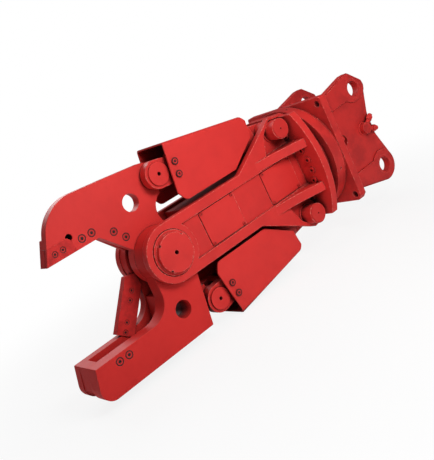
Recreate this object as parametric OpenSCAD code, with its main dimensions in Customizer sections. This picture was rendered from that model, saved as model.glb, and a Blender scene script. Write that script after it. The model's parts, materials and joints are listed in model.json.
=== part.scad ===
/* [Overall layout] */
// Distance from the main jaw pin to the front face of the slewing ring
ring_x = 955; // [950:5:990]
// Distance between the arm pin and the link pin of the carrier
pin_spacing = 440; // [410:5:480]
// Distance from the back of the base plate to the arm pin
pin_reach = 297; // [270:1:340]
// Height of the arm pin above the tool's centre line
arm_pin_h = 211; // [190:1:235]
// Half height of the body between its two cylinders
body_half_h = 135; // [128:1:150]
// Distance from the main pin to each cylinder's rear pin, along the tool
rear_pin_x = 799; // [790:1:799]
// Height of each cylinder's rear pin from the centre line
rear_pin_h = 230; // [224:1:234]
// Distance from the main pin to the foot of the shoulders
shoulder_x = 495; // [485:5:505]
// Radius at which each cylinder pulls on its jaw
lever_r = 350; // [342:1:360]
// Angle of each jaw's lever behind the upright, jaws open
lever_angle = 24; // [21:1:27]

/* [Jaws] */
// Thickness of the upper jaw's plate
jaw_t = 50; // [40:1:56]
// Side gap between the upper jaw and the near cheek
jaw_gap = 3; // [1:0.5:5]
// Thickness of the near cheek of the lower jaw
near_cheek_t = 79; // [70:1:90]
// Thickness of each upper blade
blade_t = 25; // [20:1:30]
// Gap between the blades where they shear
shear_gap = 1; // [0.6:0.1:2]
// Width of the lower blade
low_blade_w = 88; // [76:1:96]
// Thickness of the lower blade
low_blade_t = 36; // [30:1:40]
// Radius of the hub around the main pin
hub_r = 131; // [125:1:133]
// Radius of the main pin
main_pin_r = 65; // [55:1:75]
// Wall of the hub bushes
hub_bush_t = 10; // [7:1:14]
// Reach of the upper jaw from the main pin
upper_reach = 485; // [470:1:492]
// Height of the upper jaw's bite above the main pin
upper_bite_h = 204; // [196:1:214]
// Reach of the lower jaw's floor from the main pin
lower_reach = 545; // [535:1:570]
// Depth of the lower jaw's bite below the main pin
lower_bite_h = 236; // [228:1:246]
// Depth of the lower jaw's underside below the main pin
lower_base_h = 395; // [388:1:410]
// Radius of the lightening hole in each jaw
sight_r = 41; // [30:1:46]
// Radius of the heads of the blade bolts
bolt_head_r = 15; // [10:0.5:17]

/* [Body] */
// Gap between the lower jaw's cheeks and the body's side plates
cheek_gap = 3; // [2.5:0.5:6]
// Thickness of the side plates behind their recesses
side_t = 23; // [18:1:28]
// Height of the raised borders on the side plates
border_h = 12; // [8:1:16]
// Width of the raised borders along the body's edges
border_w = 47; // [38:1:52]
// Thickness of the end plate that carries the slewing ring
end_t = 38; // [30:1:46]
// Half width of the end plate at its waist
end_half_w = 287; // [280:1:296]
// Distance of the rear pin bosses' faces from the side plates' borders
boss_reach = 53; // [46:1:58]
// Thickness of the deck plates
deck_t = 22; // [16:1:26]
// Number of bolts in the slewing ring's inner circle
ring_bolts = 24; // [18:2:28]
// Distance from the balls' circle in to the inner bolt circle
bolt_inset = 36; // [34:1:38]
// Radius of the shank of the ring bolts
ring_bolt_r = 10; // [8:1:12]
// Radius of the cylinders' rear pins
rear_pin_r = 35; // [30:1:40]

/* [Slewing ring] */
// Outer radius of the slewing ring
ring_r = 287; // [284:1:295]
// Height of the slewing ring
ring_h = 55; // [50:1:60]
// Distance from the ring's outside in to the circle on which the balls run
race_inset = 41; // [40:1:43]
// Radius of the balls
ball_r = 12; // [10:1:13]
// Number of balls
balls = 40; // [24:1:46]
// Distance from the balls' circle in to the pitch circle of the ring's gear
gear_inset = 62; // [61:1:64]
// Teeth on the ring's inside
ring_teeth = 46; // [45:1:47]
// Teeth on the pinion
pinion_teeth = 12; // [11:1:13]
// Play between the gear teeth
gear_play = 0.6; // [0.4:0.1:1]

/* [Cylinders] */
// Radius of the cylinder barrels
barrel_r = 80; // [76:1:84]
// Radius of the cylinder bores
bore_r = 65; // [58:1:68]
// Radius of the rods
rod_r = 42.5; // [36:0.5:46]
// Radius of the pins through the rod ends
lug_pin_r = 32; // [28:1:34]
// Room left around that pin in the jaw's lug
lug_play = 8.5; // [8.2:0.1:9]
// Radius of the lug on each jaw
lug_r = 59; // [57:1:61]
// Radius of the fork's round arms
fork_r = 66; // [62:1:68]
// Thickness of each arm of the rod's fork
fork_arm_t = 44; // [38:1:48]
// Thickness of the guard plates
guard_t = 8; // [6:1:10]
// Length of the guards
guard_len = 484; // [460:2:490]
// Distance of the guards' outer face from the fork's pin
guard_h = 125; // [118:1:130]
// Slope of the guards' outer face against the centre line, jaws open
guard_slope = 8.7; // [8:0.1:9]

/* [Bracket] */
// Thickness of the base plate
base_t = 40; // [32:1:48]
// How far the base plate's sides stay inside the slewing ring's outline
base_side_inset = 2; // [0:1:12]
// How far its upper and lower edges stay inside the slewing ring's outline
base_edge_inset = 6; // [0:1:12]
// Clear width between the ears
ear_gap = 316; // [300:2:326]
// Thickness of each ear
ear_t = 32; // [26:1:40]
// Radius of the carrier's pins
carrier_pin_r = 40; // [35:1:45]
// Play of the carrier's pins in their bushes
carrier_play = 0.2; // [0.1:0.05:0.4]
// Wall of the ear bushes
ear_bush_t = 10; // [7:1:14]
// Radius of the ears around the pins
ear_r = 87; // [84:1:90]
// Radius of the port blocks on the ears
port_r = 30; // [27:1:32]
// Radius of the holes in the base plate's corners
corner_hole_r = 16.5; // [12:0.5:20]
// Distance of the corner holes from the plate's edges
corner_inset = 33; // [28:1:45]

/* [Hidden] */
$fn = 72;
// running play of pins and rods in their bushes, and of parts that are pressed together
run_play = 0.05;
// gap of parts that pass each other
pass_gap = 0.5;

// slewing ring from the outside in
race_r = ring_r - race_inset;
bolt_circle_r = race_r - bolt_inset;
ring_pitch_r = race_r - gear_inset;
gear_m = 2 * ring_pitch_r / ring_teeth;
base_half_w = ring_r - base_side_inset;
base_half_h = ring_r - base_edge_inset;

// layout along the tool, measured from the main pin
ring_end_x = ring_x + ring_h;
seat_h = 15;
base_x = ring_end_x + seat_h;
base_back_x = base_x + base_t;
arm_x = base_back_x + pin_reach;
arm_h = arm_pin_h;
link_x = arm_x + 6;
link_h = arm_pin_h - sqrt(pin_spacing * pin_spacing - 36);
end_x = ring_x - 49 - end_t;
end_back_x = end_x + end_t;

// layout across the tool
jaw_y = jaw_t / 2;
near_in = -jaw_y - jaw_gap;
near_out = near_in - near_cheek_t;
half_w = -near_out;
far_in = jaw_y + blade_t + shear_gap + 6;
blade_face = jaw_y + blade_t + shear_gap;
side_in = half_w + cheek_gap;
side_face = side_in + side_t;
side_top = side_face + border_h;
guard_in = half_w + 2;
guard_out = guard_in + guard_t;
lug_pad = 7;
fork_in = jaw_y + lug_pad + 5;
boss_y = side_top + boss_reach;
fork_out = fork_in + fork_arm_t;

// levers and cylinders
lug_x = lever_r * sin(lever_angle);
lug_h = lever_r * cos(lever_angle);
cyl_len = norm([rear_pin_x - lug_x, lug_h - rear_pin_h]);
cyl_tilt = atan2(lug_h - rear_pin_h, rear_pin_x - lug_x);
crown_x = lug_r + 5;
crown_end_x = crown_x + 56;
guard_bolt_x = crown_x + 15;
gland_x = crown_end_x + 18;
tube_end_x = cyl_len - 78;
eye_half_w = 60;
eye_r = min(rear_pin_r + 23, end_x - 13 - rear_pin_x);

// gear pair of the slewing drive
pinion_pitch_r = gear_m * pinion_teeth / 2;
gear_gap = ring_pitch_r - pinion_pitch_r;
inner_r = race_r - 3;
stem_r = 55;
stem_flange_r = gear_gap - pinion_pitch_r - gear_m - 12;
ring_screw_r = ring_bolt_r - 1;

// hex and head sizes of the small fasteners
head_h = 12;
// slit around the sunk heads
head_slit = 2.5;

function unit(v) = v / norm(v);
// points of one corner b between a and c, rounded with radius r
function corner(a, b, c, r) = r <= 0 ? [b] :
  let (n = max(10, round(r / 8)), u = unit(a - b), w = unit(c - b), h = acos(u * w) / 2,
       d = min(r / tan(h), 0.48 * norm(a - b), 0.48 * norm(c - b)),
       q = d * tan(h), m = b + unit(u + w) * q / sin(h),
       s = atan2(b[1] + u[1] * d - m[1], b[0] + u[0] * d - m[0]),
       e = atan2(b[1] + w[1] * d - m[1], b[0] + w[0] * d - m[0]),
       t = ((e - s + 540) % 360) - 180)
  [for (i = [0:n]) m + q * [cos(s + t * i / n), sin(s + t * i / n)]];
// outline of corners given as [x, z, radius]
function outline(p) = let (k = len(p)) [for (i = [0:k - 1])
  let (a = p[(i + k - 1) % k], b = p[i], c = p[(i + 1) % k])
  each corner([a[0], a[1]], [b[0], b[1]], [c[0], c[1]], b[2])];
// polar angle of an involute flank at radius r on base circle b
function inv(b, r) = r <= b ? 0 : let (a = acos(b / r)) tan(a) * 180 / PI - a;
// outline of a gear: pitch radius p, root and tip radii, widening w at the pitch circle
function gear(n, p, root, tip, w) =
  let (b = p * cos(20), h = 90 / n + (w / 2) / p * 180 / PI + inv(b, p))
  [for (i = [0:n - 1]) let (c = 360 / n * i) each concat(
    [for (j = [0:4]) let (r = root + (tip - root) * j / 4, a = c - h + inv(b, r))
      r * [cos(a), sin(a)]],
    [for (j = [4:-1:0]) let (r = root + (tip - root) * j / 4, a = c + h - inv(b, r))
      r * [cos(a), sin(a)]])];

// moves the tool's frame from the main pin to the arm pin
module tool() { translate([-arm_x, 0, -arm_h]) children(); }
// a plate with its outline in the plane of motion, from y0 to y1
module slab(y0, y1) { translate([0, y1, 0]) rotate([90, 0, 0]) linear_extrude(y1 - y0) children(); }
module ycyl(r, y0, y1) { translate([0, y1, 0]) rotate([90, 0, 0]) cylinder(r = r, h = y1 - y0); }
module xcyl(r, x0, x1) { translate([x0, 0, 0]) rotate([0, 90, 0]) cylinder(r = r, h = x1 - x0); }
module at(x, h) { translate([x, 0, h]) children(); }
// frame of one cylinder: x runs from the lug pin to the rear pin, z away from the body
module cyl_frame(side) {
  scale_z = side;
  mirror([0, 0, scale_z < 0 ? 1 : 0]) translate([lug_x, 0, lug_h]) rotate([0, cyl_tilt, 0]) children();
}
module both() { children(); mirror([0, 1, 0]) children(); }
module up_down() { children(); mirror([0, 0, 1]) children(); }
// a cap screw along y, head at the end y0
module cap_screw(r, head, y0, y1) {
  difference() {
    union() { ycyl(head, y0, y0 + head_h); ycyl(r, y0 + head_h, y1); }
    translate([0, y0 - 1, 0]) rotate([-90, 0, 0]) cylinder(r = head * 0.5, h = head_h * 0.6, $fn = 6);
  }
}

// bracket: base plate, two ears, bushes
module bracket_base_plate() color("firebrick") tool() difference() {
  union() {
    translate([base_x, 0, 0]) rotate([90, 0, 90]) linear_extrude(base_t)
      polygon(outline([[-base_half_w, -base_half_h + 22, 6], [-base_half_w + 22, -base_half_h, 6],
        [base_half_w - 22, -base_half_h, 6], [base_half_w, -base_half_h + 22, 6],
        [base_half_w, base_half_h, 14], [-base_half_w, base_half_h, 14]]));
    xcyl(ring_r - 5, ring_end_x, base_x + 1);
  }
  xcyl(stem_r + run_play, ring_end_x - 1, base_back_x + 1);
  translate([0, 0, gear_gap]) xcyl(pinion_pitch_r + gear_m + 4, ring_end_x - 1, base_back_x + 1);
  for (s = [-1, 1], t = [-1, 1])
    translate([0, s * (base_half_w - corner_inset), t * (base_half_h - corner_inset)])
      xcyl(corner_hole_r, base_x - 1, base_back_x + 1);
  ring_screw_places() xcyl(ring_screw_r + run_play, ring_end_x - 1, base_back_x + 1);
}
// places of the outer screws, none of them under the ears
module ring_screw_places() for (i = [0:ring_bolts - 1])
  let (a = 360 / ring_bolts * (i + 0.5), y = abs((ring_r - 15) * sin(a)))
    if (y < ear_gap / 2 - 18 || y > ear_gap / 2 + ear_t + 18)
      rotate([a, 0, 0]) translate([0, 0, ring_r - 15]) children();
// outline of the ear's upper end around the arm pin, d further in
function ear_head(d) = [[arm_x - ear_r * 0.41, arm_h + ear_r - d, 14], [arm_x + 5, arm_h + ear_r - d, 14],
  [arm_x + ear_r * 0.98 - d, arm_h + ear_r * 0.24 - d * 0.6, 16],
  [arm_x + ear_r * 1.04 - d, arm_h - ear_r * 0.1, 14], [arm_x + ear_r * 0.92 - d, arm_h - ear_r * 0.4, 30]];
module ear() difference() {
  union() {
    slab(-ear_gap / 2 - ear_t, -ear_gap / 2) polygon(outline(concat(
      [[base_back_x, arm_h + 28, 0]], ear_head(0),
      [[arm_x + 37, 60, 60], [arm_x + 37, -60, 60], [link_x + ear_r * 0.9, link_h + ear_r * 0.43, 0],
      [link_x + ear_r * 0.4, link_h - ear_r * 0.916, 0], [link_x - ear_r * 0.21, link_h - ear_r * 0.977, 0],
      [base_back_x, link_h - 17, 0]])));
    at(link_x, link_h) ycyl(ear_r, -ear_gap / 2 - ear_t, -ear_gap / 2);
  }
  pin_places() ycyl(carrier_pin_r + ear_bush_t, -ear_gap / 2 - ear_t - 1, -ear_gap / 2 + 1);
  slab(-ear_gap / 2 - ear_t - 1, -ear_gap / 2 + 1) polygon(outline([[base_back_x + 22, -30, 28],
    [base_back_x + 122, -30, 28], [base_back_x + 122, 30, 28], [base_back_x + 22, 30, 28]]));
  at(port_x, port_h) ycyl(port_r - 6, -ear_gap / 2 - ear_t - 1, -ear_gap / 2 + 1);
}
module pin_places() for (p = [[arm_x, arm_h], [link_x, link_h]]) at(p[0], p[1]) children();
module ear_near() color("firebrick") tool() ear();
module ear_far() color("firebrick") tool() mirror([0, 1, 0]) ear();
// raised collars around the carrier's pins
collar_t = 8;
module ear_collars() color("firebrick") tool() both() difference() {
  union() {
    slab(-ear_gap / 2 - ear_t - collar_t, -ear_gap / 2 - ear_t) polygon(outline(concat(
      [[base_back_x + 32, arm_h + 27, 0]], ear_head(5), [[arm_x + 34, arm_h - 63, 40],
      [arm_x - 38, arm_h - 66, 60], [arm_x - 78, arm_h - 40, 40], [base_back_x + 98, arm_h - 47, 6]])));
    slab(-ear_gap / 2 - ear_t - collar_t, -ear_gap / 2 - ear_t) polygon(outline([
      [base_back_x + 30, link_h - 18, 0], [link_x - ear_r * 0.19, link_h - ear_r + 9, 0],
      [link_x + 26, link_h - ear_r + 12, 0], [link_x, link_h + ear_r - 42, 0], [link_x - 60, link_h + 48, 20], [base_back_x + 76, link_h + 43, 6]]));
    at(link_x, link_h) ycyl(ear_r - 7, -ear_gap / 2 - ear_t - collar_t, -ear_gap / 2 - ear_t);
  }
  pin_places() ycyl(carrier_pin_r + ear_bush_t, -ear_gap / 2 - ear_t - collar_t - 1,
    -ear_gap / 2 - ear_t + 1);
}
module ear_bushes() color("dimgray") tool() both() pin_places() difference() {
  ycyl(carrier_pin_r + ear_bush_t, -ear_gap / 2 - ear_t - collar_t, -ear_gap / 2);
  ycyl(carrier_pin_r + carrier_play, -ear_gap / 2 - ear_t - collar_t - 1, -ear_gap / 2 + 1);
}
// cross plates that tie the ears together
module bracket_cross_plate() color("firebrick") tool() {
  translate([base_back_x, -ear_gap / 2, -172]) cube([170, ear_gap, 24]);
  translate([base_back_x + 170, -ear_gap / 2, 80]) cube([22, ear_gap, 120]);
}

// slewing ring
module race_cut() rotate([0, 90, 0]) rotate_extrude() translate([race_r, 0])
  circle(r = ball_r + 0.3, $fn = 48);
module slew_outer_ring() color("indianred") tool() difference() {
  xcyl(ring_r, ring_x, ring_end_x);
  xcyl(race_r + 3, ring_x - 1, ring_end_x + 1);
  translate([ring_x + ring_h / 2, 0, 0]) race_cut();
  ring_screw_places() xcyl(ring_screw_r + run_play, ring_end_x - 36, ring_end_x + 1);
  rotate([17, 0, 0]) translate([ring_x + ring_h / 2, 0, ring_r - 4]) cylinder(r = 7, h = 8);
  rotate([107, 0, 0]) translate([ring_x + ring_h / 2, 0, ring_r - 4]) cylinder(r = 7, h = 8);
}
module ring_screws() color("dimgray") tool() ring_screw_places() difference() {
    union() {
      xcyl(ring_screw_r, ring_end_x - 30, base_back_x);
      xcyl(ring_screw_r * 1.6, base_back_x, base_back_x + head_h);
    }
    translate([base_back_x + head_h - 6, 0, 0]) rotate([0, 90, 0])
      cylinder(r = ring_screw_r * 0.8, h = 8, $fn = 6);
  }
module slew_inner_ring() color("silver") tool() difference() {
  xcyl(inner_r, ring_x - 5, ring_end_x - 6);
  translate([ring_x - 6, 0, 0]) rotate([0, 90, 0]) rotate([0, 0, 180]) linear_extrude(ring_h + 10)
    polygon(gear(ring_teeth, ring_pitch_r, ring_pitch_r - gear_m * 0.5,
      ring_pitch_r + gear_m * 1.2, gear_play));
  translate([ring_x + ring_h / 2, 0, 0]) race_cut();
  ring_bolt_places() xcyl(ring_bolt_r + run_play, ring_x - 6, ring_x + 30);
}
module ring_bolt_places() for (i = [0:ring_bolts - 1]) rotate([360 / ring_bolts * (i + 0.5), 0, 0])
  translate([0, 0, bolt_circle_r]) children();
module ring_balls() color("silver") tool() for (i = [0:balls - 1]) rotate([360 / balls * i, 0, 0])
  translate([ring_x + ring_h / 2, 0, race_r]) sphere(r = ball_r, $fn = 32);
module slew_pinion() color("silver") tool() translate([0, 0, gear_gap]) {
  translate([ring_x + 6, 0, 0]) rotate([0, 90, 0]) rotate([0, 0, 180])
    linear_extrude(ring_h - 18) polygon(gear(pinion_teeth, pinion_pitch_r, pinion_pitch_r - gear_m * 1.25,
      pinion_pitch_r + gear_m, -gear_play));
  xcyl(22, ring_x + ring_h - 13, base_back_x + 20);
}
// hydraulic motor behind the base plate, around the pinion's shaft
module slew_motor() color("dimgray") tool() translate([0, 0, gear_gap]) difference() {
  union() {
    xcyl(pinion_pitch_r + gear_m + 10, base_back_x, base_back_x + 18);
    xcyl(52, base_back_x + 18, base_back_x + 60);
    translate([base_back_x + 60, -45, -45]) cube([70, 90, 90]);
    xcyl(50, base_back_x + 130, base_back_x + 160);
    for (s = [-1, 1]) translate([base_back_x + 95, s * 20, -45]) mirror([0, 0, 1]) cylinder(r = 13, h = 12);
  }
  xcyl(22 + run_play, base_back_x - 1, base_back_x + 24);
}

// rotary oil joint
module swivel_stem() color("silver") tool() difference() {
  union() {
    xcyl(stem_r, end_x - 106, base_back_x);
    xcyl(stem_flange_r, base_back_x, base_back_x + 20);
    xcyl(40, base_back_x + 20, base_back_x + 75);
  }
  for (i = [0:4]) translate([end_x - 96 + i * 22, 0, 0]) rotate([0, 90, 0]) difference() {
    cylinder(r = stem_r + 1, h = 8); translate([0, 0, -1]) cylinder(r = stem_r - 6, h = 10);
  }
  for (a = [0:90:270]) rotate([a + 45, 0, 0]) translate([0, 0, 22])
    xcyl(8, base_back_x + 50, base_back_x + 76);
}
module swivel_housing() color("dimgray") tool() difference() {
  union() {
    xcyl(84, end_x - 118, end_x);
    for (a = [0:90:270]) rotate([a, 0, 0]) translate([end_x - 80, 0, 80]) cylinder(r = 16, h = 12);
  }
  xcyl(stem_r + run_play, end_x - 108, end_x + 1);
  for (a = [0:90:270]) rotate([a, 0, 0]) translate([end_x - 80, 0, 60]) cylinder(r = 9, h = 40);
}

// port blocks of the oil lines on the ears, each with two adapters
port_x = arm_x - 37;
port_h = -3;
port_angles = [33, -21];
port_in = 32;
adapter_r = 12;
port_neck_r = 9;
port_bore_r = 14;
module adapter_places() translate([port_x, -ear_gap / 2 - ear_t - 16, port_h])
  for (a = port_angles) rotate([0, -a, 0]) children();
module hose_port_blocks() color("firebrick") tool() both() difference() {
  at(port_x, port_h) {
    ycyl(port_r, -ear_gap / 2 - ear_t - port_in, -ear_gap / 2 - ear_t);
    ycyl(port_r - 6, -ear_gap / 2 - ear_t - 1, -ear_gap / 2 + 26);
  }
  at(port_x, port_h) ycyl(port_bore_r, -ear_gap / 2 - ear_t - 24, -ear_gap / 2 + 27);
  adapter_places() { xcyl(port_neck_r + run_play, 22, 40); xcyl(5, port_bore_r - 5, 23); }
}
module hose_adapters() color("indianred") tool() both() adapter_places() difference() {
  union() {
    xcyl(port_neck_r, 22, port_r + 2);
    xcyl(adapter_r, port_r + 1, port_r + 24);
    translate([port_r + 22, 0, 0]) rotate([0, 90, 0]) cylinder(r = 18, h = 24, $fn = 6);
    xcyl(adapter_r, port_r + 45, port_r + 58);
  }
  xcyl(5, 21, port_r + 59);
}

// body: end plate, side plates, box
module end_outline() {
  r = 531;
  intersection() {
    translate([end_half_w - r, 0]) circle(r = r, $fn = 180);
    translate([r - end_half_w, 0]) circle(r = r, $fn = 180);
    polygon([[-300, -270], [-138, -270], [-112, -284], [112, -284], [138, -270], [300, -270],
      [300, 270], [138, 270], [112, 284], [-112, 284], [-138, 270], [-300, 270]]);
  }
}
module end_plate() color("firebrick") tool() difference() {
  translate([end_x, 0, 0]) rotate([90, 0, 90]) linear_extrude(end_t) end_outline();
  xcyl(stem_r + 12, end_x - 1, end_back_x + 1);
  ring_bolt_places() {
    xcyl(ring_bolt_r + run_play, end_x - 1, end_back_x + 1);
    xcyl(ring_bolt_r * 1.6 + 1, end_x - 1, end_x + 8);
  }
}
module neck_ring() color("firebrick") tool() difference() {
  xcyl(inner_r - 7, end_back_x, ring_x - 5);
  xcyl(bolt_circle_r - 24, end_back_x - 1, ring_x - 4);
  ring_bolt_places() xcyl(ring_bolt_r + run_play, end_back_x - 1, ring_x - 4);
}
module end_plate_bolts() color("dimgray") tool() ring_bolt_places() difference() {
  union() { xcyl(ring_bolt_r, end_x + 8, ring_x + 24); xcyl(ring_bolt_r * 1.6, end_x - 10, end_x + 8); }
  translate([end_x - 11, 0, 0]) rotate([0, 90, 0]) cylinder(r = ring_bolt_r * 0.85, h = 10, $fn = 6);
}
// outline of a side plate with its two shoulders
shoulder_h = rear_pin_h + 67;
module side_outline() {
  circle(r = body_half_h, $fn = 120);
  polygon(outline([[0, -body_half_h, 0], [shoulder_x, -body_half_h, 30], [rear_pin_x - 5, -shoulder_h, 14],
    [end_x, -shoulder_h + 14, 0], [end_x, shoulder_h - 14, 0], [rear_pin_x - 5, shoulder_h, 14],
    [shoulder_x, body_half_h, 30], [0, body_half_h, 0]]));
}
module window(x0, x1, h, r) polygon(outline([[x0, -h, r], [x1, -h, r], [x1, h, r], [x0, h, r]]));
cover_h = body_half_h - border_w;
front_cover = [204, 420];
rear_cover = [612, 818];
window_lap = 22;
cover_sink = 4;
cover_proud = 3;
cover_slit = 2.5;
module side_plate() {
  difference() {
    union() {
      difference() {
        slab(-side_top, -side_in) side_outline();
        // long recess between the borders
        slab(-side_top - 1, -side_face) difference() {
          translate([0, -cover_h]) square([end_x + 1, 2 * cover_h]);
          circle(r = hub_r, $fn = 120);
        }
        // recess around each rear pin
        up_down() slab(-side_top - 1, -side_in - 8) polygon(outline([[rear_pin_x - 112, body_half_h + 4, 6],
          [end_x + 1, body_half_h + 4, 0], [end_x + 1, shoulder_h - 24, 0],
          [rear_pin_x - 8, shoulder_h - 12, 12], [rear_pin_x - 72, rear_pin_h + 4, 16]]));
        // rebates of the cover plates
        for (c = [front_cover, rear_cover]) slab(-side_top, -side_face + cover_sink)
          window(c[0] - cover_slit, c[1] + cover_slit, cover_h - 5 + cover_slit, 8);
        // seat of the main pin's cap
        ycyl(104, -side_top - 1, -side_top + 8);
      }
      up_down() at(rear_pin_x, rear_pin_h) {
        ycyl(rear_pin_r + 15, -boss_y + 4, -side_in);
        ycyl(eye_r, -side_in, -eye_half_w - 2);
      }
      // ribs that spread out to the end plate
      up_down() translate([0, 0, body_half_h - 40]) linear_extrude(44)
        polygon(outline([[shoulder_x + 75, -side_face, 0], [shoulder_x + 105, -side_top, 200],
          [end_x - 150, -side_top - 22, 300], [end_x - 4, -end_half_w + 45, 0], [end_x, -end_half_w + 45, 0],
          [end_x, -side_face, 0]]));
    }
    ycyl(main_pin_r + run_play, -side_top - 40, 0);
    up_down() at(rear_pin_x, rear_pin_h) ycyl(rear_pin_r + run_play, -boss_y - 1, 0);
    for (c = [front_cover, rear_cover]) slab(-side_top, -side_in + 1)
      window(c[0] + window_lap, c[1] - window_lap, cover_h - window_lap, 14);
    cover_screw_places() ycyl(6, -side_face - 1, -side_in + 1);
    ring_bolt_places() xcyl(ring_bolt_r * 1.6 + 2, end_x - 12, end_x + 1);
  }
}
module cover_screw_places() for (c = [front_cover, rear_cover], x = [c[0] + 12, c[1] - 12],
  h = [-cover_h + 14, cover_h - 14]) at(x, h) children();
module side_plate_near() color("firebrick") tool() side_plate();
module side_plate_far() color("firebrick") tool() mirror([0, 1, 0]) side_plate();
module side_covers() color("firebrick") tool() both() difference() {
  for (c = [front_cover, rear_cover]) slab(-side_face - cover_proud, -side_face + cover_sink)
    window(c[0], c[1], cover_h - 5, 6);
  cover_screw_places() ycyl(6, -side_face - cover_proud - 1, -side_face + cover_sink + 1);
}
module cover_screws() color("dimgray") tool() both() cover_screw_places() difference() {
  union() {
    ycyl(6 - run_play, -side_face - cover_proud, -side_in - 4);
    ycyl(8, -side_face - cover_proud - 4, -side_face - cover_proud);
  }
  translate([0, -side_face - cover_proud - 5, 0]) rotate([-90, 0, 0]) cylinder(r = 4, h = 4, $fn = 6);
}
box_x = 190;
module centre_box() color("firebrick") tool() {
  up_down() translate([box_x, -side_in, body_half_h - 13 - deck_t])
    cube([end_x - box_x, 2 * side_in, deck_t]);
  difference() {
    for (x = [box_x, 510]) translate([x, -side_in, -body_half_h + 13 + deck_t])
      cube([deck_t, 2 * side_in, 2 * (body_half_h - 13 - deck_t)]);
    xcyl(50, 500, 560);
  }
}
module valve_block() color("silver") tool() difference() {
  union() {
    translate([300, -62, -body_half_h + 13 + deck_t]) cube([120, 124, 96]);
    for (s = [-1, 1]) translate([330, s * 62, -40]) rotate([s * -90, 0, 0]) cylinder(r = 14, h = 20);
    xcyl(15, 285, 301);
  }
  for (x = [330, 360, 390]) translate([x, 0, -body_half_h + 13 + deck_t + 70]) cylinder(r = 9, h = 30);
}

// pins of the body
module main_pin() color("silver") tool() difference() {
  ycyl(main_pin_r, -side_top + 8, side_top - 8);
  both() ycyl(10, -side_top, -side_top + 90);
}
module main_pin_caps() color("indianred") tool() both() difference() {
  union() { ycyl(88, -side_top - 25, -side_top + 8); ycyl(101, -side_top - 4, -side_top + 8); }
  ycyl(10, -side_top - 26, -side_top + 9);
  for (a = [45:90:315]) rotate([0, a, 0]) translate([82, -side_top - 26, -6]) cube([10, 13, 12]);
}
module rear_pins() color("silver") tool() up_down() at(rear_pin_x, rear_pin_h) difference() {
  union() {
    ycyl(rear_pin_r, -boss_y + 4, boss_y - 4);
    both() ycyl(rear_pin_r + 11, -boss_y, -boss_y + 4);
  }
  both() ycyl(4, -boss_y - 1, -side_top + 20);
}

// upper jaw
// the neck behind the lug is a round scallop around neck_x, neck_h
neck_x = lug_x + 22;
neck_h = 158;
neck_cut_r = 81;
function upper_pts() = concat([[-upper_reach, upper_bite_h + 2, 3], [-222, upper_bite_h, 8], [-90, 62, 0],
  [0, 0, 0], [100, 82, 0]],
  [for (a = [232:-6:106]) [neck_x + neck_cut_r * cos(a), neck_h + neck_cut_r * sin(a), 0]],
  [[lug_x, lug_h, 0], [lug_x + 12, lug_h + 57.5, 0], [lug_x - 25, 395, 30], [20, 404, 60], [-76, 413, 60],
   [-369, 437, 215]]);
// replaceable tip, cut out of the plate
module tip_outline() polygon([[-upper_reach, upper_bite_h + 2], [-337, upper_bite_h + 1],
  [-337, 254], [-352, 272], [-451.5, 273]]);
module upper_jaw_plate() color("firebrick") tool() difference() {
  union() {
    slab(-jaw_y, jaw_y) difference() {
      union() {
        circle(r = hub_r, $fn = 120);
        translate([lug_x, lug_h]) circle(r = lug_r);
        polygon(outline(upper_pts()));
      }
      tip_outline();
    }
    at(lug_x, lug_h) ycyl(lug_r - 5, -jaw_y - lug_pad, jaw_y + lug_pad);
    slab(jaw_y, jaw_y + blade_t) intersection() {
      polygon(outline(upper_pts()));
      translate([-520, 273]) square([250, 34]);
    }
  }
  ycyl(main_pin_r + hub_bush_t, -jaw_y - 1, jaw_y + 1);
  at(lug_x, lug_h) ycyl(lug_pin_r + lug_play + 7, -fork_in, fork_in);
  at(-14, 264) ycyl(sight_r, -jaw_y - 1, jaw_y + 1);
  at(-343, 270) ycyl(16, -jaw_y - 1, jaw_y - 8);
  blade_bolt_places() ycyl(bolt_head_r + head_slit, -jaw_y - 1, -jaw_y + head_h);
  blade_bolt_places() ycyl(10 + run_play, -jaw_y - 1, jaw_y + 1);
}
module upper_jaw_tip() color("firebrick") tool() difference() {
  union() {
    slab(-jaw_y, jaw_y + blade_t) tip_outline();
  }
  // groove between the tip's two plates
  slab(-jaw_y + 22, -jaw_y + 26) polygon([[-upper_reach - 5, upper_bite_h - 4],
    [-upper_reach + 60, upper_bite_h - 4], [-upper_reach + 14, upper_bite_h + 12], [-438, 282], [-465, 282]]);
  tip_bolt_places() ycyl(10 + run_play, -jaw_y - 1, jaw_y + blade_t + 1);
  tip_bolt_places() ycyl(bolt_head_r * 0.8 + 1.5, -jaw_y - 1, -jaw_y + head_h + 2);
}
// direction of the sloping part of the bite
slope = unit([95, -upper_bite_h + 93]);
slope_in = [-slope[1], slope[0]];
rear_blade_len = 158;
function on_slope(a, b) = [-222, upper_bite_h] + a * slope + b * slope_in;
module blade_bolt_places() {
  for (x = [-293, -243]) at(x, upper_bite_h + 35) children();
  for (a = [55, 117]) let (p = on_slope(a, 48)) at(p[0], p[1]) children();
}
module tip_bolt_places() for (x = [-428, -389]) at(x, upper_bite_h + 35) children();
module upper_jaw_blades() color("silver") tool() difference() {
  slab(jaw_y, jaw_y + blade_t) {
    polygon([[-336.5, upper_bite_h + 1], [-224, upper_bite_h + 1], [-196, 262], [-336.5, 262]]);
    polygon([on_slope(4, 1), on_slope(rear_blade_len, 1), on_slope(rear_blade_len, 78), on_slope(46, 78)]);
  }
  blade_bolt_places() ycyl(10 + run_play, jaw_y - 1, jaw_y + blade_t + 1);
}
module upper_jaw_bolts() color("dimgray") tool() {
  blade_bolt_places() cap_screw(10, bolt_head_r, -jaw_y, jaw_y + blade_t - 4);
  tip_bolt_places() cap_screw(10, bolt_head_r * 0.8 - 0.5, -jaw_y + 2, jaw_y + blade_t - 4);
}
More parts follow.
